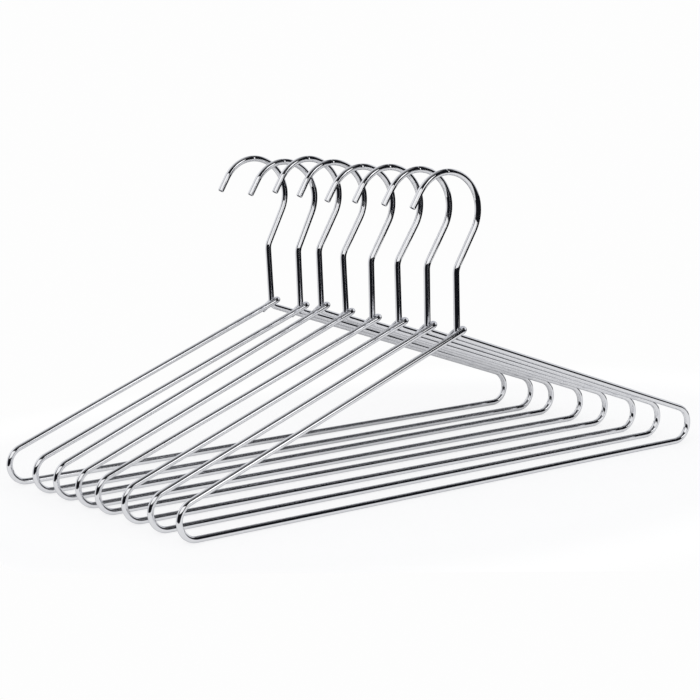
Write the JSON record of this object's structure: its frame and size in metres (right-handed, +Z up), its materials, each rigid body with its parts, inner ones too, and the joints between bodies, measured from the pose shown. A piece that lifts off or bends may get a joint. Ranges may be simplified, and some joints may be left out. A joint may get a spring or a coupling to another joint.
{
  "type": "metal suit hanger set",
  "caption": "Row of matching chromed wire suit hangers, each a single bent wire with hook, stem, sloping arms and bottom bar, that slide apart or together.",
  "frame": {"origin": "on the floor under the middle of the set's box", "axes": "+X along the bottom bars, +Y from the front hanger to the rear one, +Z up towards the hooks"},
  "size_m": [0.41, 0.2194, 0.203],
  "materials": {
    "chrome_wire": "bright mirror chrome plating on steel wire"
  },
  "bodies": {
    "hanger_1": {"hanger_1": "chrome_wire"},
    "hanger_2": {"hanger_2": "chrome_wire"},
    "hanger_3": {"hanger_3": "chrome_wire"},
    "hanger_4": {"hanger_4": "chrome_wire"},
    "hanger_5": {"hanger_5": "chrome_wire"},
    "hanger_6": {"hanger_6": "chrome_wire"},
    "hanger_7": {"hanger_7": "chrome_wire"},
    "hanger_8": {"hanger_8": "chrome_wire"}
  },
  "joints": [
    {"name": "hanger_2_slide", "type": "slide", "parent": "hanger_1", "child": "hanger_2", "axis": [0, 1, 0], "range_m": [-0.0136, 0.0144]},
    {"name": "hanger_3_slide", "type": "slide", "parent": "hanger_2", "child": "hanger_3", "axis": [0, 1, 0], "range_m": [-0.01, 0.018]},
    {"name": "hanger_4_slide", "type": "slide", "parent": "hanger_3", "child": "hanger_4", "axis": [0, 1, 0], "range_m": [-0.0134, 0.0146]},
    {"name": "hanger_5_slide", "type": "slide", "parent": "hanger_4", "child": "hanger_5", "axis": [0, 1, 0], "range_m": [-0.0076, 0.0204]},
    {"name": "hanger_6_slide", "type": "slide", "parent": "hanger_5", "child": "hanger_6", "axis": [0, 1, 0], "range_m": [-0.013, 0.015]},
    {"name": "hanger_7_slide", "type": "slide", "parent": "hanger_6", "child": "hanger_7", "axis": [0, 1, 0], "range_m": [-0.008, 0.02]},
    {"name": "hanger_8_slide", "type": "slide", "parent": "hanger_7", "child": "hanger_8", "axis": [0, 1, 0], "range_m": [-0.0154, 0.0126]}
  ]
}
